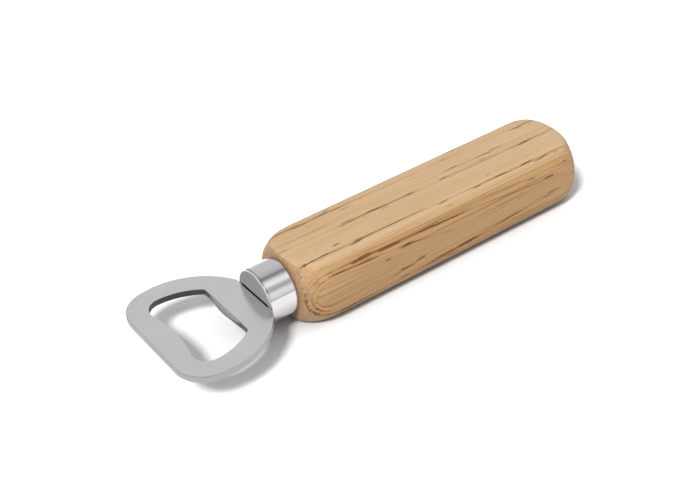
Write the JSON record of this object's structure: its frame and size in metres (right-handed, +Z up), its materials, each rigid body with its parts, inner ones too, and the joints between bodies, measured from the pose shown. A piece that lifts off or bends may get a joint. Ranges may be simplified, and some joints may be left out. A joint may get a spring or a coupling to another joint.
{
  "type": "bottle opener",
  "caption": "Wooden-handled bottle opener: a flat steel plate with a cap window and a bent-down lifting tooth, held by its tang under a metal ferrule.",
  "frame": {"origin": "centre of the bounding box, at its bottom: the surface that the handle lies on", "axes": "+X from the cap window to the handle's end, +Y across the head, +Z up from the surface that the opener lies on"},
  "size_m": [0.142, 0.0434, 0.0206],
  "materials": {
    "stainless_plate": "tumbled satin stainless steel",
    "polished_ferrule": "polished drawn stainless steel",
    "oak": "sanded oak with a light oil, not varnished",
    "epoxy": "cured epoxy"
  },
  "bodies": {
    "root": {"opener_plate": "stainless_plate", "ferrule": "polished_ferrule", "handle": "oak", "tang_adhesive": "epoxy"}
  },
  "joints": []
}
